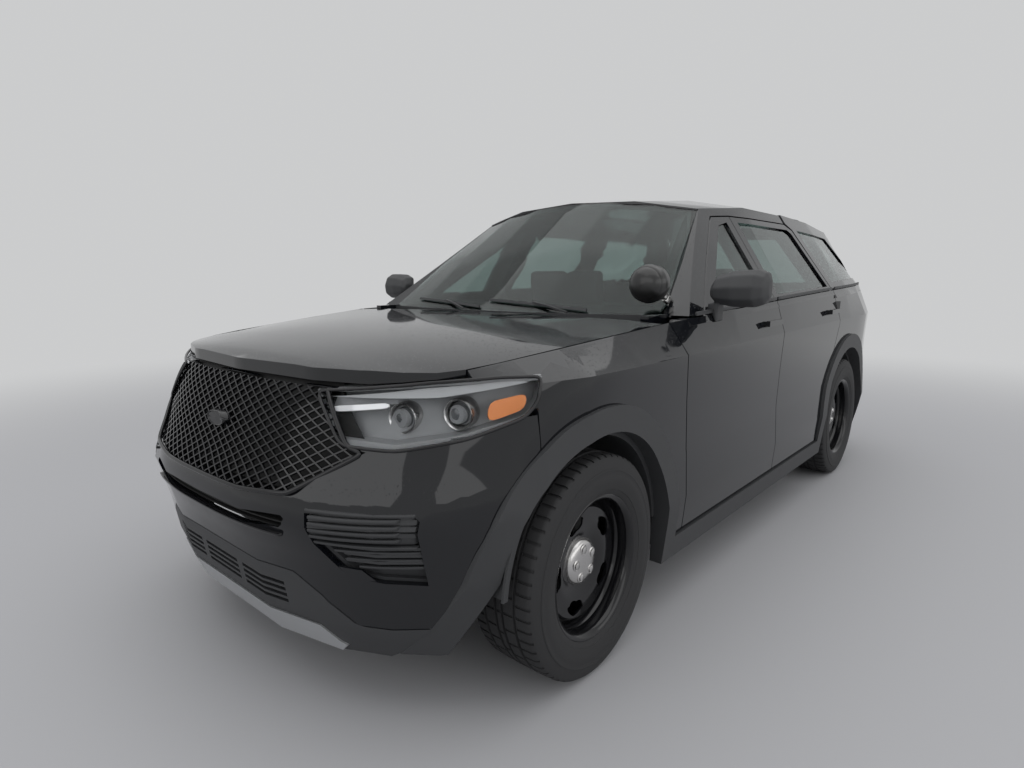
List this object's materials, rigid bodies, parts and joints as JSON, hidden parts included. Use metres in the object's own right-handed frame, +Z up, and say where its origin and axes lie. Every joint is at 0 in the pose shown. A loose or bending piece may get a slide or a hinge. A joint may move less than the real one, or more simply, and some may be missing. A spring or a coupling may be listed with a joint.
{
  "type": "patrol car",
  "caption": "Black full-size police patrol utility with hinged doors, hood and liftgate, steered front wheels, mesh grille and a pillar spotlight.",
  "frame": {"origin": "on the ground under the middle of the car", "axes": "+X towards the nose, +Y to the driver's left, +Z up"},
  "size_m": [5.0321, 2.274, 1.7617],
  "materials": {
    "paint": "gloss black",
    "trim_plastic": "matte grey-black",
    "gloss_black": "gloss",
    "satin_silver": "satin silver",
    "lamp_reflector": "grey",
    "lamp_lens": "clear",
    "tinted_glass": "green tint",
    "red_lens": "gloss",
    "seat_cloth": "woven",
    "cast_metal": "raw",
    "underbody": "satin",
    "lamp_black": "satin",
    "tyre_rubber": "matte",
    "wheel_steel": "gloss black"
  },
  "bodies": {
    "body": {"floor_pan": "underbody", "side_frames": "paint", "quarter_panels": "paint", "roof_panel": "paint", "front_fenders": "paint", "front_bumper": "paint", "lower_fascia": "trim_plastic", "skid_plate": "satin_silver", "grille": "gloss_black", "headlamps": "lamp_reflector", "lamp_lenses": "lamp_lens", "fog_bezels": "trim_plastic", "fixed_glass": "tinted_glass", "cowl_dash": "trim_plastic", "seats": "seat_cloth", "engine_block": "cast_metal", "front_subframe": "cast_metal", "rear_suspension": "cast_metal", "rear_bumper": "paint", "tail_lamps": "red_lens", "wheel_arches": "trim_plastic", "spotlight": "lamp_black", "wipers": "trim_plastic"},
    "door_fl": {"door_front_left": "paint", "glass_front_left": "tinted_glass", "mirror_left": "trim_plastic"},
    "door_fr": {"door_front_right": "paint", "glass_front_right": "tinted_glass", "mirror_right": "trim_plastic"},
    "door_rl": {"door_rear_left": "paint", "glass_rear_left": "tinted_glass"},
    "door_rr": {"door_rear_right": "paint", "glass_rear_right": "tinted_glass"},
    "hood": {"hood": "paint"},
    "liftgate": {"tailgate": "paint", "tailgate_glass": "tinted_glass"},
    "knuckle_left": {"knuckle_left": "cast_metal"},
    "knuckle_right": {"knuckle_right": "cast_metal"},
    "wheel_front_left": {"wheel_front_left": "wheel_steel", "tyre_front_left": "tyre_rubber"},
    "wheel_front_right": {"wheel_front_right": "wheel_steel", "tyre_front_right": "tyre_rubber"},
    "wheel_rear_left": {"wheel_rear_left": "wheel_steel", "tyre_rear_left": "tyre_rubber"},
    "wheel_rear_right": {"wheel_rear_right": "wheel_steel", "tyre_rear_right": "tyre_rubber"},
    "steering": {"steering_wheel": "trim_plastic"}
  },
  "joints": [
    {"name": "door_fl_hinge", "type": "hinge", "parent": "body", "child": "door_fl", "pos_m": [0.935, 0.968, 0.73], "axis": [0, 0, -1], "range_deg": [0, 66]},
    {"name": "door_fr_hinge", "type": "hinge", "parent": "body", "child": "door_fr", "pos_m": [0.935, -0.968, 0.73], "axis": [0, 0, 1], "range_deg": [0, 66]},
    {"name": "door_rl_hinge", "type": "hinge", "parent": "body", "child": "door_rl", "pos_m": [-0.125, 0.968, 0.73], "axis": [0, 0, -1], "range_deg": [0, 66]},
    {"name": "door_rr_hinge", "type": "hinge", "parent": "body", "child": "door_rr", "pos_m": [-0.125, -0.968, 0.73], "axis": [0, 0, 1], "range_deg": [0, 66]},
    {"name": "hood_hinge", "type": "hinge", "parent": "body", "child": "hood", "pos_m": [1.084, 0, 1.112], "axis": [0, -1, 0], "range_deg": [0, 42]},
    {"name": "liftgate_hinge", "type": "hinge", "parent": "body", "child": "liftgate", "pos_m": [-2.092, 0, 1.66716], "axis": [0, 1, 0], "range_deg": [0, 75]},
    {"name": "steer_left", "type": "hinge", "parent": "body", "child": "knuckle_left", "pos_m": [1.605, 0.77, 0.3815], "axis": [0, 0, 1], "range_deg": [-33, 33]},
    {"name": "wheel_front_left_spin", "type": "hinge", "parent": "knuckle_left", "child": "wheel_front_left", "pos_m": [1.605, 0.85, 0.3815], "axis": [0, 1, 0], "continuous": true},
    {"name": "wheel_rear_left_spin", "type": "hinge", "parent": "body", "child": "wheel_rear_left", "pos_m": [-1.42, 0.85, 0.3815], "axis": [0, 1, 0], "continuous": true},
    {"name": "steer_right", "type": "hinge", "parent": "body", "child": "knuckle_right", "pos_m": [1.605, -0.77, 0.3815], "axis": [0, 0, 1], "range_deg": [-33, 33]},
    {"name": "wheel_front_right_spin", "type": "hinge", "parent": "knuckle_right", "child": "wheel_front_right", "pos_m": [1.605, -0.85, 0.3815], "axis": [0, 1, 0], "continuous": true},
    {"name": "wheel_rear_right_spin", "type": "hinge", "parent": "body", "child": "wheel_rear_right", "pos_m": [-1.42, -0.85, 0.3815], "axis": [0, 1, 0], "continuous": true},
    {"name": "steering_wheel_turn", "type": "hinge", "parent": "body", "child": "steering", "pos_m": [0.43, 0.37, 1.01], "axis": [-0.9135, 0, 0.4067], "range_deg": [-465, 465]}
  ],
  "couplings": [
    {"joint": "steer_right", "follows": "steer_left", "ratio": 1},
    {"joint": "steering_wheel_turn", "follows": "steer_left", "ratio": 14}
  ]
}
